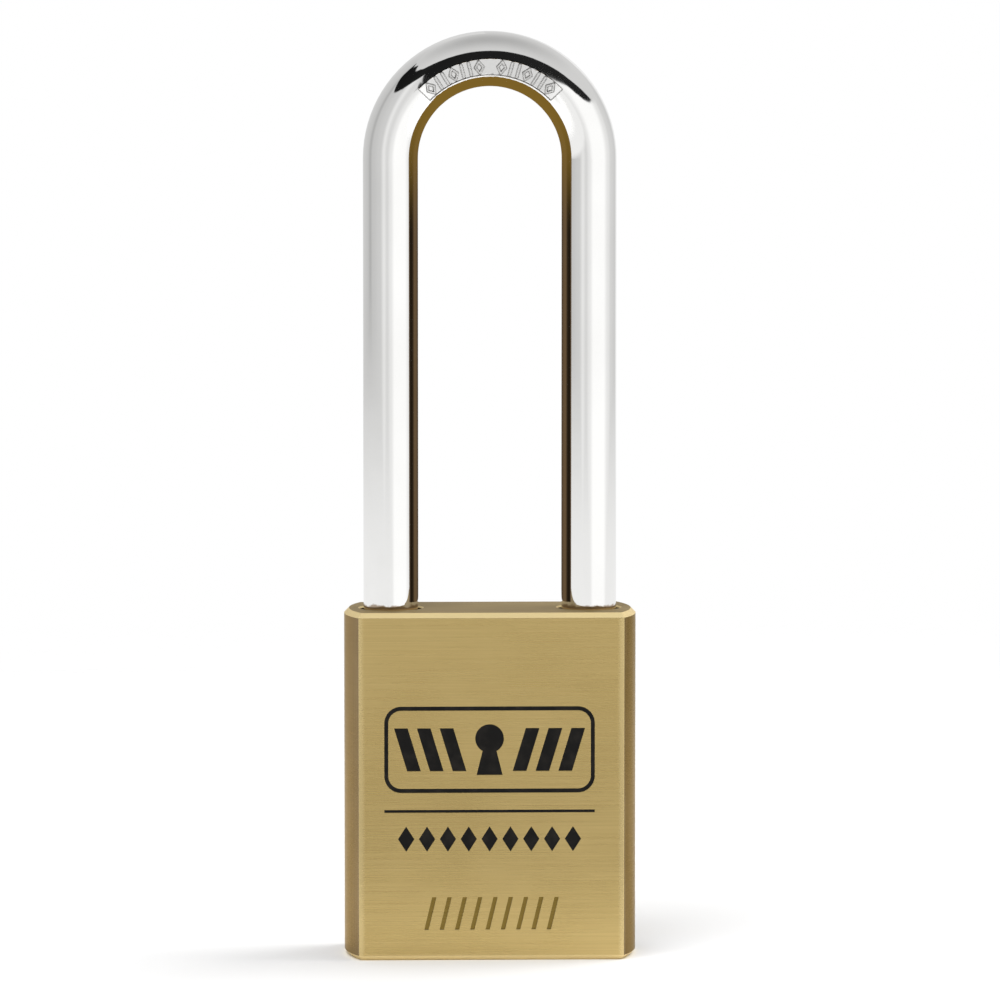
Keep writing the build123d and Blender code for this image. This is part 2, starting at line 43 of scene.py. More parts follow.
# ------------------------------------------------------------------ shader maths
class Signal:
    """A shader socket that can be used in Python arithmetic."""

    def __init__(self, shade: "Shade", socket: bpy.types.NodeSocket | None) -> None:
        """Wrap an output socket of a tree, or nothing for a node without outputs."""
        self.shade = shade
        self.socket = socket

    def _math(self, operation: str, *values: "Signal | float") -> "Signal":
        """One Math node in this socket's tree.

        Args:
            operation: the Math node's operation.
            values: the node's inputs, in order.

        Returns:
            The node's result.
        """
        return self.shade.add("ShaderNodeMath", {"operation": operation}, dict(enumerate(values)))

    def __add__(self, other: "Signal | float") -> "Signal":
        """This plus another."""
        return self._math("ADD", self, other)

    __radd__ = __add__

    def __sub__(self, other: "Signal | float") -> "Signal":
        """This minus another."""
        return self._math("SUBTRACT", self, other)

    def __rsub__(self, other: "Signal | float") -> "Signal":
        """Another minus this."""
        return self._math("SUBTRACT", other, self)

    def __mul__(self, other: "Signal | float") -> "Signal":
        """This times another."""
        return self._math("MULTIPLY", self, other)

    __rmul__ = __mul__

    def __truediv__(self, other: "Signal | float") -> "Signal":
        """This over another."""
        return self._math("DIVIDE", self, other)

    def __rtruediv__(self, other: "Signal | float") -> "Signal":
        """Another over this."""
        return self._math("DIVIDE", other, self)

    def __pow__(self, other: "Signal | float") -> "Signal":
        """This to a power."""
        return self._math("POWER", self, other)

    def __rpow__(self, other: "Signal | float") -> "Signal":
        """Another to the power of this."""
        return self._math("POWER", other, self)

    def __abs__(self) -> "Signal":
        """The size of this, without its sign."""
        return self._math("ABSOLUTE", self)

    def least(self, other: "Signal | float") -> "Signal":
        """The smaller of this and another."""
        return self._math("MINIMUM", self, other)

    def most(self, other: "Signal | float") -> "Signal":
        """The greater of this and another."""
        return self._math("MAXIMUM", self, other)

    def wave(self) -> "Signal":
        """The sine of this, in radians."""
        return self._math("SINE", self)

    def arcsine(self) -> "Signal":
        """The angle whose sine is this, in radians."""
        return self._math("ARCSINE", self)

    def angle_from(self, other: "Signal") -> "Signal":
        """The angle of the point (other, this), in radians."""
        return self._math("ARCTAN2", self, other)

    def smooth(self, low: float, high: float, start: float = 0.0, end: float = 1.0) -> "Signal":
        """A soft step: start below low, end above high, smooth between.

        Args:
            low: where the step begins.
            high: where it ends.
            start: the value before it.
            end: the value after it.

        Returns:
            The stepped value.
        """
        settings = {"interpolation_type": "SMOOTHSTEP"}
        inputs = {0: self, 1: low, 2: high, 3: start, 4: end}
        return self.shade.add("ShaderNodeMapRange", settings, inputs)

    def bell(self, centre: "Signal | float", width: float) -> "Signal":
        """1 at centre, falling smoothly to 0 at width away from it."""
        return abs(self - centre).smooth(0.0, width, 1.0, 0.0)


def rgba(colour: "Signal | Triple") -> "Signal | tuple[float, float, float, float]":
    """A colour with its alpha, or a Signal as it is."""
    return colour if isinstance(colour, Signal) else (*colour, 1.0)


class Shade:
    """A node tree of a material or of the world, with one way to add any node."""

    def __init__(self, tree: bpy.types.NodeTree) -> None:
        """Take over a tree and empty it."""
        self.tree = tree
        tree.nodes.clear()

    def add(
        self, kind: str, settings: dict | None = None, inputs: dict | None = None, out: int | str = 0
    ) -> Signal:
        """Add a node.

        Args:
            kind: the node's type.
            settings: its own properties, set first.
            inputs: a value or a Signal for each input, by name or number.
            out: the output that is returned, by name or number.

        Returns:
            That output.
        """
        node = self.tree.nodes.new(kind)
        for name, value in (settings or {}).items():
            if name == "stops":
                self._set_stops(node.color_ramp, value)
            else:
                setattr(node, name, value)
        for name, value in (inputs or {}).items():
            if isinstance(value, Signal):
                self.tree.links.new(value.socket, node.inputs[name])
            else:
                node.inputs[name].default_value = value
        return Signal(self, node.outputs[out] if len(node.outputs) else None)

    @staticmethod
    def _set_stops(ramp: bpy.types.ColorRamp, stops: list[tuple]) -> None:
        """Give a ramp its stops.

        Args:
            ramp: the ramp, which loses the stops it had.
            stops: a place from 0 to 1, and a grey or a colour, for each.
        """
        while len(ramp.elements) > 1:
            ramp.elements.remove(ramp.elements[-1])
        for number, (place, value) in enumerate(stops):
            element = ramp.elements.new(place) if number else ramp.elements[0]
            element.position = place
            element.color = rgba((value,) * 3 if isinstance(value, (int, float)) else value)

    def ramp(self, factor: Signal, stops: list[tuple], easing: str = "EASE") -> Signal:
        """A colour ramp.

        Args:
            factor: what runs along it.
            stops: a place from 0 to 1, and a grey or a colour, for each.
            easing: how it runs between the stops.

        Returns:
            The ramp's colour.
        """
        colour = self.add("ShaderNodeValToRGB", {"stops": stops}, {0: factor})
        colour.socket.node.color_ramp.interpolation = easing
        return colour

    def mix(self, factor: Signal | float, first: Signal | Triple, second: Signal | Triple) -> Signal:
        """A mix of two colours, all first at 0 and all second at 1."""
        inputs = {0: factor, 6: rgba(first), 7: rgba(second)}
        return self.add("ShaderNodeMix", {"data_type": "RGBA"}, inputs, 2)

    def place(self) -> Signal:
        """The point on the piece, in its own coordinates."""
        return self.add("ShaderNodeTexCoord", out="Object")

    def facing(self) -> Signal:
        """The direction the surface faces, in the piece's own coordinates."""
        return self.add("ShaderNodeTexCoord", out="Normal")

    def parts(self, vector: Signal) -> tuple[Signal, ...]:
        """The x, y and z of a vector."""
        node = self.add("ShaderNodeSeparateXYZ", None, {0: vector}).socket.node
        return tuple(Signal(self, output) for output in node.outputs)

    def stretched(self, cell: Triple, offset: Triple = (0.0, 0.0, 0.0)) -> Signal:
        """Object coordinates measured in cells of a size in metres, moved by an offset in cells."""
        inputs = {0: self.place(), "Scale": tuple(1.0 / side for side in cell), "Location": offset}
        return self.add("ShaderNodeMapping", None, inputs)

    def noise(self, vector: Signal, detail: float = 3.0, rough: float = 0.55) -> Signal:
        """Soft noise, about 0.5."""
        inputs = {"Vector": vector, "Scale": 1.0, "Detail": detail, "Roughness": rough}
        return self.add("ShaderNodeTexNoise", None, inputs)

    def dot(self, first: Signal, second: Signal) -> Signal:
        """The dot product of two vectors."""
        settings = {"operation": "DOT_PRODUCT"}
        return self.add("ShaderNodeVectorMath", settings, {0: first, 1: second}, "Value")

    def bump(self, height: Signal, strength: float, depth: float, under: Signal | None = None) -> Signal:
        """A normal tilted by a height.

        Args:
            height: the height, from 0 to 1.
            strength: how much of it shows.
            depth: what a height of 1 is, in metres.
            under: the normal that it starts from.

        Returns:
            The new normal.
        """
        inputs = {"Strength": strength, "Distance": depth, "Height": height}
        if under is not None:
            inputs["Normal"] = under
        return self.add("ShaderNodeBump", None, inputs)

    def soft_edges(self, radius: float) -> Signal:
        """A normal that rounds every edge by a small radius."""
        return self.add("ShaderNodeBevel", {"samples": 6}, {"Radius": radius})

    def surface(self, **inputs: object) -> None:
        """Finish a material with a Principled surface.

        Args:
            inputs: a value or a Signal for each socket, with _ for a space in its name.
        """
        named = {name.replace("_", " "): value for name, value in inputs.items()}
        shader = self.add("ShaderNodeBsdfPrincipled", None, named)
        self.add("ShaderNodeOutputMaterial", None, {"Surface": shader})


def new_shade(name: str) -> tuple[bpy.types.Material, Shade]:
    """An empty material and its tree.

    Args:
        name: the material's name.

    Returns:
        The material, and its tree to be filled.
    """
    material = bpy.data.materials.new(name)
    material.use_nodes = True
    return material, Shade(material.node_tree)


# ------------------------------------------------------------------ finishes
class BlockSurface:
    """Where a point of the block lies, which way it faces, and the grains that cross it."""

    def __init__(self, shade: Shade) -> None:
        """Lay out the places and the grains in a tree."""
        self.x, self.y, self.z = shade.parts(shade.place())
        facing_x, facing_y, facing_z = shade.parts(shade.facing())
        # Painted light: the round end that faces -X is made lighter than the one that faces +X.
        self.heel_end_lit = facing_x.smooth(-0.3, 0.3, 0.5, 0.0)
        self.flat = abs(facing_y).smooth(0.8, 0.95)
        self.level = abs(facing_z).smooth(0.75, 0.95)
        self.slope = abs(facing_z).bell(0.707, 0.25)
        self.upright = abs(facing_z).smooth(0.9, 0.99, 1.0, 0.0)

        self.streak = shade.noise(shade.stretched((30 * MM, 5 * MM, 0.16 * MM)), 5.0, 0.6)
        self.hair = shade.noise(shade.stretched((9 * MM, 3 * MM, 0.06 * MM), (3.0, 1.0, 7.0)), 2.0)
        self.drawn = shade.noise(shade.stretched((0.9 * MM, 0.4 * MM, 30 * MM)), 3.0)
        self.milled = shade.noise(shade.stretched((9 * MM, 0.3 * MM, 3 * MM)), 3.0)
        self.cloud = shade.noise(shade.stretched((17 * MM,) * 3, (5.0, 2.0, 1.0)), 2.0)
        self.speck = shade.noise(shade.stretched((0.6 * MM,) * 3), 2.0, 0.7)


@dataclass(frozen=True)
class BrushedBrass:
    """Satin brass of the block: brushed across the flats, drawn smooth along the round ends."""

    block_height: float
    flat_reach: float
    flat_depth: float
    flat_light: Triple = (0.64, 0.48, 0.2)
    flat_dark: Triple = (0.53, 0.39, 0.152)
    # Painted shade: the round ends and the top are given darker copies of the flats' brass colour.
    shaded_end_light: Triple = (0.31, 0.235, 0.155)
    shaded_end_dark: Triple = (0.17, 0.122, 0.07)
    shaded_top_light: Triple = (0.3, 0.225, 0.105)
    shaded_top_dark: Triple = (0.24, 0.175, 0.075)
    edge_on: Triple = (0.78, 0.64, 0.42)
    polished: Triple = (0.82, 0.66, 0.34)
    shaded_mark_floor: Triple = (0.19, 0.125, 0.022)
    tarnished: Triple = (0.24, 0.16, 0.06)
    rub_full: float = 0.3 * MM
    rub_end: float = 1.1 * MM
    rub_wander: float = 0.6 * MM
    mark_depth: float = 0.3 * MM
    mark_margin: float = 1.4 * MM
    edge_radius: float = 0.12 * MM
    scratch_depth: float = 0.008 * MM

    def build(self) -> bpy.types.Material:
        """Make the material.

        Returns:
            The material.
        """
        material, shade = new_shade("brushed_brass")
        at = BlockSurface(shade)
        to_edge = self.edge_distance(at)
        edge = at.flat * to_edge.smooth(self.rub_full, self.rub_end, 0.45, 0.0)
        colour = self.bare_colour(shade, at)
        colour = shade.mix(edge.most(at.slope), colour, self.polished)
        colour = shade.mix(at.speck.smooth(0.7, 0.8, 0.0, 0.25), colour, self.tarnished)
        # Painted shade: the floors and walls of the engraved marks are darkened.
        colour = shade.mix(self.mark_shade_mask(at, to_edge) * (0.75 + at.hair * 0.25), colour, self.shaded_mark_floor)

        rough = 0.29 + (at.streak - 0.5) * 0.16 + (at.cloud - 0.5) * 0.12
        rough = rough - edge * 0.08 + at.slope * 0.06 + at.level * 0.2
        height = at.flat * (at.streak * 0.3 + at.hair * 0.15) + (1 - at.flat) * (at.drawn * 0.08)
        height = height + at.level * at.milled * 0.2
        shade.surface(
            Base_Color=colour,
            Metallic=1 - at.slope * 0.55 - at.level * 0.6,
            Roughness=rough,
            Normal=shade.bump(height, 0.4, self.scratch_depth, shade.soft_edges(self.edge_radius)),
            Specular_Tint=rgba(self.edge_on),
            Specular_IOR_Level=0.2,
        )
        return material

    def bare_colour(self, shade: Shade, at: BlockSurface) -> Signal:
        """The colour of the flats, the round ends and the top, before any wear; painted shade darkens the
        ends and top.

        Args:
            shade: the tree.
            at: the block's places and grains.

        Returns:
            The colour.
        """
        flat_grain = (at.streak * 0.45 + at.hair * 0.2 + at.cloud * 0.35).smooth(0.36, 0.66)
        # Painted light: the round end that faces -X is lightened here.
        end_grain = (at.drawn * 0.4 + at.cloud * 0.6).smooth(0.35, 0.65) * 0.5 + at.heel_end_lit
        top_grain = (at.milled * 0.5 + at.cloud * 0.5).smooth(0.38, 0.62)
        flats = shade.mix(flat_grain, self.flat_dark, self.flat_light)
        ends = shade.mix(end_grain, self.shaded_end_dark, self.shaded_end_light)
        top = shade.mix(top_grain, self.shaded_top_dark, self.shaded_top_light)
        return shade.mix(at.level, shade.mix(at.flat, ends, flats), top)

    def edge_distance(self, at: BlockSurface) -> Signal:
        """How far a flat's nearest edge is, wandering so that wear is uneven.

        Args:
            at: the block's places and grains.

        Returns:
            The distance, in metres.
        """
        to_side = self.flat_reach - abs(at.x)
        to_end = at.z.least(self.block_height - at.z)
        return to_side.least(to_end) + (at.cloud - 0.5) * self.rub_wander

    def mark_shade_mask(self, at: BlockSurface, to_edge: Signal) -> Signal:
        """1 on the floors and walls of the marks, where painted shade darkens the brass.

        Args:
            at: the block's places and grains.
            to_edge: how far the nearest edge is.

        Returns:
            The mask.
        """
        inset = self.flat_depth - abs(at.y)
        below = inset.smooth(0.03 * MM, 0.12 * MM)
        above_floor = inset.smooth(self.mark_depth, self.mark_depth + 0.06 * MM, 1.0, 0.0)
        clear_of_edge = to_edge.smooth(self.mark_margin, self.mark_margin + 0.2 * MM)
        return below * above_floor * clear_of_edge * at.upright


@dataclass(frozen=True)
class TurnedBrass:
    """Machined brass with turning rings about an axis along Z."""

    name: str
    light: Triple = (0.78, 0.6, 0.29)
    dark: Triple = (0.6, 0.44, 0.18)
    ring_pitch: float = 0.16 * MM
    ring_depth: float = 0.004 * MM
    edge_radius: float = 0.08 * MM

    def build(self) -> bpy.types.Material:
        """Make the material.

        Returns:
            The material.
        """
        material, shade = new_shade(self.name)
        x, y, _ = shade.parts(shade.place())
        radius = (x * x + y * y) ** 0.5
        wobble = shade.noise(shade.stretched((2.5 * MM,) * 3), 2.0)
        cloud = shade.noise(shade.stretched((6 * MM,) * 3), 3.0)
        rings = (radius * (math.tau / self.ring_pitch) + wobble * 5.0).wave() * 0.5 + 0.5
        lines = shade.noise(shade.stretched((0.3 * MM, 0.3 * MM, 0.1 * MM)), 3.0)
        edges = shade.soft_edges(self.edge_radius)
        shade.surface(
            Base_Color=shade.mix(cloud * 0.75 + lines * 0.25, self.dark, self.light),
            Metallic=1.0,
            Roughness=0.2 + rings * 0.08 + (cloud - 0.5) * 0.2,
            Normal=shade.bump(rings * 0.6 + lines * 0.4, 0.5, self.ring_depth, edges),
        )
        return material


@dataclass(frozen=True)
class ChromePlate:
    """Bright chrome over a forged and drawn steel rod, with a painted reflection of the brass where it
    enters the block.
    """

    bend_level: float
    block_top: float
    bright: Triple = (0.965, 0.962, 0.95)
    worn: Triple = (0.9, 0.895, 0.88)
    brass_reflection: Triple = (0.3, 0.2, 0.11)
    mark_outline_shade: Triple = (0.09, 0.085, 0.08)
    reflection_full: float = 0.35 * MM
    reflection_end: float = 0.75 * MM
    reflection_wander: float = 1.2 * MM
    mark_edge: float = 0.22 * MM
    swell_depth: float = 0.06 * MM

    def build(self) -> bpy.types.Material:
        """Make the material.

        Returns:
            The material.
        """
        material, shade = new_shade("chrome_plate")
        _, _, z = shade.parts(shade.place())
        forged = z.smooth(self.bend_level - 8 * MM, self.bend_level + 4 * MM)
        swell = shade.noise(shade.stretched((7 * MM,) * 3), 1.5, 0.4)
        draw = shade.noise(shade.stretched((1.1 * MM, 1.1 * MM, 60 * MM)), 2.0)
        peel = shade.noise(shade.stretched((0.9 * MM,) * 3), 2.0)
        haze = shade.noise(shade.stretched((11 * MM, 11 * MM, 25 * MM), (2.0, 5.0, 3.0)), 3.0)
        pits = shade.noise(shade.stretched((0.35 * MM,) * 3), 2.0, 0.7).smooth(0.7, 0.8)
        colour = shade.mix(haze.smooth(0.4, 0.75) * 0.6, self.bright, self.worn)
        # Painted shade: dark outlines along the edges of the stamped marks on the bend.
        colour = shade.mix(self.shaded_mark_edges(shade, z) * 0.95, colour, self.mark_outline_shade)
        # Painted reflection: the chrome just above the block takes a brown colour like the brass top that
        # it mirrors.
        colour = shade.mix(self.brass_reflection_ring(shade, z), colour, self.brass_reflection)
        height = swell * (forged * 0.85 + 0.15) + draw * 0.05 + peel * 0.012 - pits * 0.01
        shade.surface(
            Base_Color=colour,
            Metallic=1.0,
            Roughness=0.035 + haze.smooth(0.35, 0.75) * 0.035 + pits * 0.1,
            Normal=shade.bump(height, 0.5, self.swell_depth),
        )
        return material

    def shaded_mark_edges(self, shade: Shade, z: Signal) -> Signal:
        """1 in the corners and along the edges of the stamped marks, which are darkened as painted shade.

        An edge is where a normal rounded by mark_edge turns away from the true one.

        Args:
            shade: the tree.
            z: the height on the shackle.

        Returns:
            The mask, 0 below the bend.
        """
        true_normal = shade.add("ShaderNodeNewGeometry", out="Normal")
        turned = 1 - shade.dot(shade.soft_edges(self.mark_edge), true_normal)
        on_bend = z.smooth(self.bend_level + 4 * MM, self.bend_level + 6 * MM)
        return turned.smooth(0.002, 0.05) * on_bend

    def brass_reflection_ring(self, shade: Shade, z: Signal) -> Signal:
        """How much painted reflection of the brass top there is, full in the block and ending just above
        it.

        Args:
            shade: the tree.
            z: the height on the shackle.

        Returns:
            The share of the painted reflection.
        """
        wander = shade.noise(shade.stretched((1.3 * MM,) * 3, (1.0, 4.0, 2.0)), 2.0)
        above = z - self.block_top - (wander - 0.5) * self.reflection_wander
        return above.smooth(self.reflection_full, self.reflection_end, 0.85, 0.0)


@dataclass(frozen=True)
class BakedEnamel:
    """Black enamel that was wiped into the marks and baked, a little dull and uneven."""

    deep: Triple = (0.005, 0.0045, 0.004)
    dusty: Triple = (0.014, 0.012, 0.01)
    grain_depth: float = 0.02 * MM

    def build(self) -> bpy.types.Material:
        """Make the material.

        Returns:
            The material.
        """
        material, shade = new_shade("baked_enamel")
        cloud = shade.noise(shade.stretched((2.2 * MM,) * 3), 3.0)
        grain = shade.noise(shade.stretched((0.14 * MM,) * 3), 2.0)
        shade.surface(
            Base_Color=shade.mix(cloud.smooth(0.4, 0.75), self.deep, self.dusty),
            Roughness=0.42 + (cloud - 0.5) * 0.3,
            Normal=shade.bump(cloud * 0.7 + grain * 0.3, 0.5, self.grain_depth),
            Specular_IOR_Level=0.15,
        )
        return material


@dataclass(frozen=True)
class Steel:
    """Bare or blackened steel of the inner pieces, with marks of how it was made.

    The marks fill cells of the size in cell, in millimetres.
    """

    name: str
    light: Triple
    dark: Triple
    roughness: float
    cell: Triple
    depth: float = 0.004 * MM
    edge_radius: float = 0.06 * MM

    def build(self) -> bpy.types.Material:
        """Make the material.

        Returns:
            The material.
        """
        material, shade = new_shade(self.name)
        marks = shade.noise(shade.stretched(tuple(side * MM for side in self.cell)), 4.0, 0.6)
        cloud = shade.noise(shade.stretched((3 * MM,) * 3), 3.0)
        shade.surface(
            Base_Color=shade.mix(marks * 0.6 + cloud * 0.4, self.dark, self.light),
            Metallic=1.0,
            Roughness=self.roughness + (marks - 0.5) * 0.2 + (cloud - 0.5) * 0.15,
            Normal=shade.bump(marks, 0.5, self.depth, shade.soft_edges(self.edge_radius)),
        )
        return material


class InnerFinish(Enum):
    """The steels of the pieces inside the block."""

    BEARING = Steel("bearing_steel", (0.72, 0.72, 0.73), (0.6, 0.6, 0.62), 0.14, (0.8, 0.8, 0.8))
    MACHINED = Steel("machined_steel", (0.56, 0.56, 0.57), (0.4, 0.4, 0.42), 0.34, (0.3, 0.3, 0.06))
    BLACKENED = Steel("blackened_steel", (0.07, 0.07, 0.075), (0.03, 0.03, 0.032), 0.4, (0.4, 0.4, 0.2))
    WIRE = Steel("spring_wire", (0.6, 0.6, 0.6), (0.42, 0.42, 0.43), 0.28, (0.25, 0.25, 0.25))

    def material(self) -> bpy.types.Material:
        """The steel's one material, built when it is first asked for."""
        return bpy.data.materials.get(self.value.name) or self.value.build()


# ------------------------------------------------------------------ surfaces
def surface_piece(name: str, points: np.ndarray, wrap_columns: bool = True) -> bpy.types.Object:
    """A smooth mesh from a grid of points.

    The grid's point (i, j) is joined to (i + 1, j), (i, j + 1) and (i + 1, j + 1), and the
    last column is joined to the first one where it wraps.

    Args:
        name: the piece's name.
        points: the grid, as rows by columns by 3, in metres.
        wrap_columns: whether the last column joins the first.

    Returns:
        The new object, at the origin.
    """
    rows, columns = points.shape[:2]
    index = np.arange(rows * columns).reshape(rows, columns)
    here, below = index[:-1], index[1:]
    ahead, below_ahead = np.roll(here, -1, axis=1), np.roll(below, -1, axis=1)
    last = columns if wrap_columns else columns - 1
    quads = np.stack([here, ahead, below_ahead, below], axis=-1)[:, :last].reshape(-1, 4)
    mesh = bpy.data.meshes.new(name)
    mesh.vertices.add(rows * columns)
    mesh.vertices.foreach_set("co", points.reshape(-1).astype(np.float32))
    mesh.loops.add(quads.size)
    mesh.loops.foreach_set("vertex_index", quads.reshape(-1).astype(np.int32))
    mesh.polygons.add(len(quads))
    mesh.polygons.foreach_set("loop_start", np.arange(0, quads.size, 4, dtype=np.int32))
    mesh.polygons.foreach_set("use_smooth", np.ones(len(quads), dtype=bool))
    mesh.update(calc_edges=True)
    mesh.validate()
    piece = bpy.data.objects.new(name, mesh)
    bpy.context.scene.collection.objects.link(piece)
    LOG.info("made %s of %d faces", name, len(quads))
    return piece


def dress(node: str, material: bpy.types.Material) -> None:
    """Give a node of the frame its finish.

    Args:
        node: the node's name.
        material: the finish.
    """
    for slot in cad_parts[node].material_slots:
        slot.material = material
    LOG.info("dressed %s in %s", node, material.name)


# ------------------------------------------------------------------ the padlock
@dataclass
class Block:
    """The brass block, the plug in its cross bore and the enamel in its front."""

    height: float = field(init=False)
    flat_reach: float = field(init=False)
    half_depth: float = field(init=False)

    def __post_init__(self) -> None:
        """Read the sizes from the frame: the flats end where the round of the bar begins."""
        _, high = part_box("body")
        radius, self.half_depth, self.height = high
        self.flat_reach = math.sqrt(radius**2 - self.half_depth**2)

    def dress(self) -> None:
        """Give each piece its finish."""
        brass = BrushedBrass(self.height, self.flat_reach, self.half_depth).build()
        dress("body", brass)
        dress("cross_bore_plug", brass)
        dress("front_mark_enamel", BakedEnamel().build())


@dataclass
class Shackle:
    """The chromed bow: two legs, and half a circle of rod between them from bend_level up."""

    block_top: float
    leg_x: float = 15.27 * MM
    rod_radius: float = 4.225 * MM
    bend_level: float = 122.9 * MM

    def dress(self) -> None:
        """Give it its finish."""
        dress("shackle", ChromePlate(self.bend_level, self.block_top).build())


@dataclass
class Works:
    """The balls that lock the legs, the cam that drives them, and the shackle's and cam's springs."""

    balls: tuple[str, ...] = ("toe_ball", "heel_ball")
    springs: tuple[str, ...] = ("heel_spring", "cam_return_spring")

    def dress(self) -> None:
        """Give each piece its finish."""
        for ball in self.balls:
            dress(ball, InnerFinish.BEARING.material())
        dress("locking_cam", InnerFinish.MACHINED.material())
        for spring in self.springs:
            dress(spring, InnerFinish.WIRE.material())


@dataclass
class Cylinder:
    """The cylinder, with its pins and their springs, its clip and its screw."""

    pins: int = 6

    def dress(self) -> None:
        """Give each piece its finish."""
        dress("cylinder_housing", TurnedBrass("housing_brass").build())
        plug = TurnedBrass("plug_brass", (0.82, 0.66, 0.36), (0.68, 0.51, 0.24), 0.11 * MM)
        dress("cylinder_plug", plug.build())
        dress("plug_retaining_clip", InnerFinish.WIRE.material())
        dress("anti_drill_pins", InnerFinish.BEARING.material())
        dress("cylinder_retaining_screw", InnerFinish.BLACKENED.material())
        pin_brass = TurnedBrass("pin_brass", ring_depth=0.002 * MM).build()
        dress("pin_chamber_plugs", pin_brass)
        for number in range(1, self.pins + 1):
            dress(f"key_pin_{number}", pin_brass)
            dress(f"driver_pin_{number}", pin_brass)
            dress(f"pin_spring_{number}", InnerFinish.WIRE.material())


# ------------------------------------------------------------------ floor, light and camera
@dataclass
class Floor:
    """A round pale floor whose edge fades out.

    A grey patch is painted on it for reflections alone, a little in front of the padlock.
    """

    radius: float = 0.55
    solid_radius: float = 0.2
    centre_radius: float = 0.0001
    rings: int = 24
    spokes: int = 96
    pale: Triple = (0.9, 0.9, 0.9)
    paler: Triple = (0.94, 0.94, 0.94)
    patch_grey: Triple = (0.3, 0.3, 0.3)
    patch_ahead: float = 0.19
    patch_full: float = 0.09
    patch_end: float = 0.16
    patch_share: float = 0.62

    def build(self) -> None:
        """Make the floor.

        The surface is a disc: rings of growing radius about the origin, at height 0.
        """
        radii = np.linspace(self.centre_radius, self.radius, self.rings)[:, None]
        turns = np.linspace(0.0, math.tau, self.spokes, endpoint=False)[None, :]
        grid = np.stack([radii * np.cos(turns), radii * np.sin(turns), 0 * radii * turns], axis=-1)
        floor = surface_piece("floor", grid)
        floor.data.materials.append(self.finish())

    def finish(self) -> bpy.types.Material:
        """Make the floor's material.

        Returns:
            The material.
        """
        material, shade = new_shade("pale_floor")
        x, y, _ = shade.parts(shade.place())
        radius = (x * x + y * y) ** 0.5
        fade = radius.smooth(self.solid_radius, self.radius * 0.95, 1.0, 0.0)
        colour = shade.mix(shade.noise(shade.stretched((60 * MM,) * 3), 2.0), self.pale, self.paler)
        # Painted reflection: glossy rays alone see the floor greyed in a patch in front of the padlock.
        mirrored = shade.add("ShaderNodeLightPath", out="Is Glossy Ray")
        from_patch = (x * x + (y + self.patch_ahead) ** 2.0) ** 0.5
        patch = from_patch.smooth(self.patch_full, self.patch_end, 1.0, 0.0)
        colour = shade.mix(mirrored * patch * self.patch_share, colour, self.patch_grey)
        shade.surface(Base_Color=colour, Roughness=0.75, Specular_IOR_Level=0.2, Alpha=fade)
        return material


@dataclass
class Card:
    """A brown card bent round the inside of the bow and running back, seen only in the chrome."""

    shackle: Shackle
    gap: float = 1.6 * MM
    front: float = -3.6 * MM
    back: float = 160 * MM
    foot: float = 54.4 * MM
    leg_steps: int = 12
    bend_steps: int = 40
    depth_steps: int = 24
    band_depth: float = 14 * MM
    golden: Triple = (0.21, 0.125, 0.022)

    def build(self) -> None:
        """Make the card.

        The surface is the bow's inner outline, moved inwards by the gap and drawn out along Y:
        up one leg, half a circle over the top and down the other leg.
        """
        radius = self.shackle.leg_x - self.shackle.rod_radius - self.gap
        top = self.shackle.bend_level
        up = np.linspace(self.foot, top, self.leg_steps)
        turn = np.linspace(0.0, math.pi, self.bend_steps)
        side = np.full(self.leg_steps, radius)
        x = np.concatenate([side, radius * np.cos(turn), -side])
        z = np.concatenate([up, top + radius * np.sin(turn), up[::-1]])
        y = np.linspace(self.front, self.back, self.depth_steps)
        grid = np.stack([x[:, None] + 0 * y, y[None, :] + 0 * x[:, None], z[:, None] + 0 * y], axis=-1)
        card = surface_piece("brown_card", grid, wrap_columns=False)
        card.data.materials.append(self.finish())
        card.visible_camera = False
        card.visible_diffuse = False
        card.visible_shadow = False
        card.visible_transmission = False

    def finish(self) -> bpy.types.Material:
        """Make the card's material: brown bands down the legs, golden over the bend.

        It glows of itself, and is clear to rays that come up from below.

        Returns:
            The material.
        """
        material, shade = new_shade("brown_card")
        _, depth, height = shade.parts(shade.place())
        # Painted reflection: these glowing bands are the browns and darks that the chrome shows inside the
        # bow.
        bands = [
            (0.0, (0.16, 0.11, 0.07)),
            (0.05, (0.012, 0.008, 0.004)),
            (0.11, (0.02, 0.013, 0.007)),
            (0.2, (0.13, 0.083, 0.042)),
            (0.5, (0.075, 0.052, 0.032)),
            (1.0, (0.1, 0.075, 0.05)),
        ]
        legs = shade.ramp((depth - self.front) / self.band_depth, bands)
        top = self.shackle.bend_level
        colour = shade.mix(height.smooth(top - 12 * MM, top + 8 * MM), legs, self.golden)
        glow = shade.add("ShaderNodeEmission", None, {"Color": colour, "Strength": 1.0})
        clear = shade.add("ShaderNodeBsdfTransparent")
        _, _, back_up = shade.parts(shade.add("ShaderNodeNewGeometry", out="Incoming"))
        sheet = shade.add("ShaderNodeMixShader", None, {0: back_up.smooth(-0.03, 0.01), 1: clear, 2: glow})
        shade.add("ShaderNodeOutputMaterial", None, {"Surface": sheet})
        return material


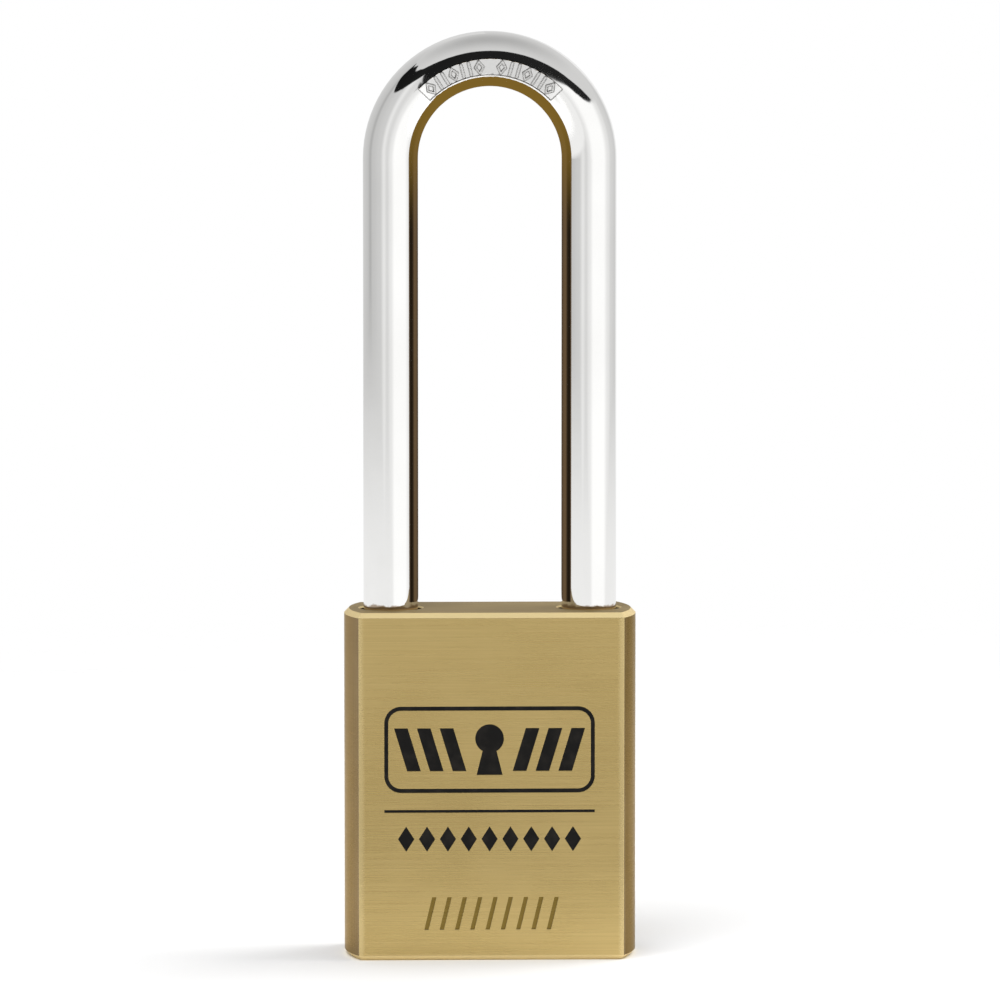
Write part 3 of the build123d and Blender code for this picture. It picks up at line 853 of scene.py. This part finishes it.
@dataclass
class LightTent:
    """The world as a light tent, which the camera itself sees as plain white.

    Soft white panels stand round the sides, with a dark gap above them and a dimmer ceiling.
    Every turn is in degrees from the front towards +X, and every rise in degrees above level.
    """

    panels: tuple = (
        (-180, 0.72), (-135, 0.6), (-112, 0.56), (-95, 0.44), (-82, 0.56), (-45, 0.62), (-28, 0.82),
        (-15, 0.7), (0, 0.84), (17, 1.04), (60, 1.04), (84, 0.82), (104, 0.68), (135, 0.62),
        (158, 0.9), (180, 0.72),
    )
    gap_foot: tuple = (
        (-100, 42), (-75, 33), (-50, 30), (-32, 26), (-18, 21), (-6, 5), (4, 4), (12, 11),
        (20, 15), (34, 19), (60, 24), (75, 27), (90, 30),
    )
    gap_head: tuple = (
        (-100, 52), (-88, 50), (-74, 51), (-55, 44), (-30, 38), (0, 33), (20, 34), (34, 34),
        (48, 32.5), (60, 31), (75, 27.5), (90, 28),
    )
    gap_start: float = -102.0
    gap_fade: float = 6.0
    gap_blur: float = 0.7
    gap_darkness: float = 0.985
    ceiling_low: float = 0.66
    ceiling_high: float = 0.45
    below_level: float = 0.9

    def build(self) -> None:
        """Make the world."""
        world = bpy.data.worlds.new("light_tent")
        bpy.context.scene.world = world
        world.use_nodes = True
        shade = Shade(world.node_tree)
        x, y, z = shade.parts(shade.add("ShaderNodeTexCoord", out="Generated"))
        turn = x.angle_from(-1.0 * y) * (180.0 / math.pi)
        rise = z.arcsine() * (180.0 / math.pi)
        light = self.brightness(shade, turn, rise)
        seen = shade.add("ShaderNodeLightPath", out="Is Camera Ray")
        strength = light * (1 - seen) + seen
        glow = shade.add("ShaderNodeBackground", None, {"Color": (1, 1, 1, 1), "Strength": strength})
        shade.add("ShaderNodeOutputWorld", None, {"Surface": glow})

    def brightness(self, shade: Shade, turn: Signal, rise: Signal) -> Signal:
        """How bright the tent is in a direction.

        Args:
            shade: the world's tree.
            turn: the direction's turn.
            rise: its rise.

        Returns:
            The brightness.
        """
        round_tent = turn / 360.0 + 0.5
        blur = self.gap_blur
        walls = shade.ramp(round_tent, self.stops(self.panels, 1))
        foot = 90.0 * shade.ramp(round_tent, self.stops(self.gap_foot, 90), "LINEAR")
        head = 90.0 * shade.ramp(round_tent, self.stops(self.gap_head, 90), "LINEAR")
        gap = (rise - foot).smooth(-blur, blur) * (rise - head).smooth(-blur, blur, 1.0, 0.0)
        gap = gap * turn.smooth(self.gap_start, self.gap_start + self.gap_fade)
        above = (rise - head).smooth(-3.0, 0.5)
        ceiling = rise.smooth(34.0, 88.0, self.ceiling_low, self.ceiling_high)
        light = (walls * (1 - above) + ceiling * above) * (1 - gap * self.gap_darkness)
        return light.most(rise.smooth(-6.0, 0.0, self.below_level, 0.0))

    @staticmethod
    def stops(pairs: tuple, full: float) -> list[tuple]:
        """Ramp stops from pairs of a turn and a value, which is divided by full."""
        return [(turn / 360 + 0.5, value / full) for turn, value in pairs]


@dataclass
class Softbox:
    """A soft area light aimed at the padlock and kept out of reflections."""

    name: str
    place: Triple
    power: float
    size: float = 1.2
    aim: Triple = (0.0, 0.0, 50 * MM)

    def build(self) -> None:
        """Make the light."""
        light = bpy.data.lights.new(self.name, "AREA")
        light.shape = "DISK"
        light.size = self.size
        light.energy = self.power
        lamp = bpy.data.objects.new(self.name, light)
        lamp.location = self.place
        lamp.rotation_euler = (Vector(self.aim) - lamp.location).to_track_quat("-Z", "Y").to_euler()
        lamp.visible_glossy = False
        bpy.context.scene.collection.objects.link(lamp)


@dataclass
class Viewpoint:
    """A long lens in front of the padlock, looking slightly down."""

    lens: float = 252.0
    sensor: float = 36.0
    distance: float = 1.0796
    pitch: float = math.radians(4.75)
    turn: float = math.radians(-1.63)
    aim: Triple = (1.57 * MM, 0.0, 70.2 * MM)

    def build(self) -> None:
        """Make the camera and use it."""
        data = bpy.data.cameras.new("camera")
        data.lens = self.lens
        data.sensor_width = self.sensor
        data.clip_end = 50.0
        camera = bpy.data.objects.new("camera", data)
        level = math.cos(self.pitch)
        back = Vector((level * math.sin(self.turn), -level * math.cos(self.turn), math.sin(self.pitch)))
        camera.location = Vector(self.aim) + back * self.distance
        camera.rotation_euler = (math.pi / 2 - self.pitch, 0.0, self.turn)
        bpy.context.scene.collection.objects.link(camera)
        bpy.context.scene.camera = camera


def main() -> None:
    """Build the padlock's looks and its studio."""
    logging.basicConfig(level=logging.INFO, format="%(name)s: %(message)s")
    bpy.context.scene.view_settings.view_transform = "Standard"
    Viewpoint().build()
    block = Block()
    shackle = Shackle(block.height)
    for assembly in (block, shackle, Works(), Cylinder()):
        assembly.dress()
        LOG.info("finished the %s", type(assembly).__name__.lower())
    Floor().build()
    Card(shackle).build()
    LightTent().build()
    Softbox("key_softbox", (-0.5, -0.9, 1.3), 16.0).build()
    Softbox("fill_softbox", (0.9, 0.3, 1.2), 12.0).build()


if __name__ == "__main__":
    main()
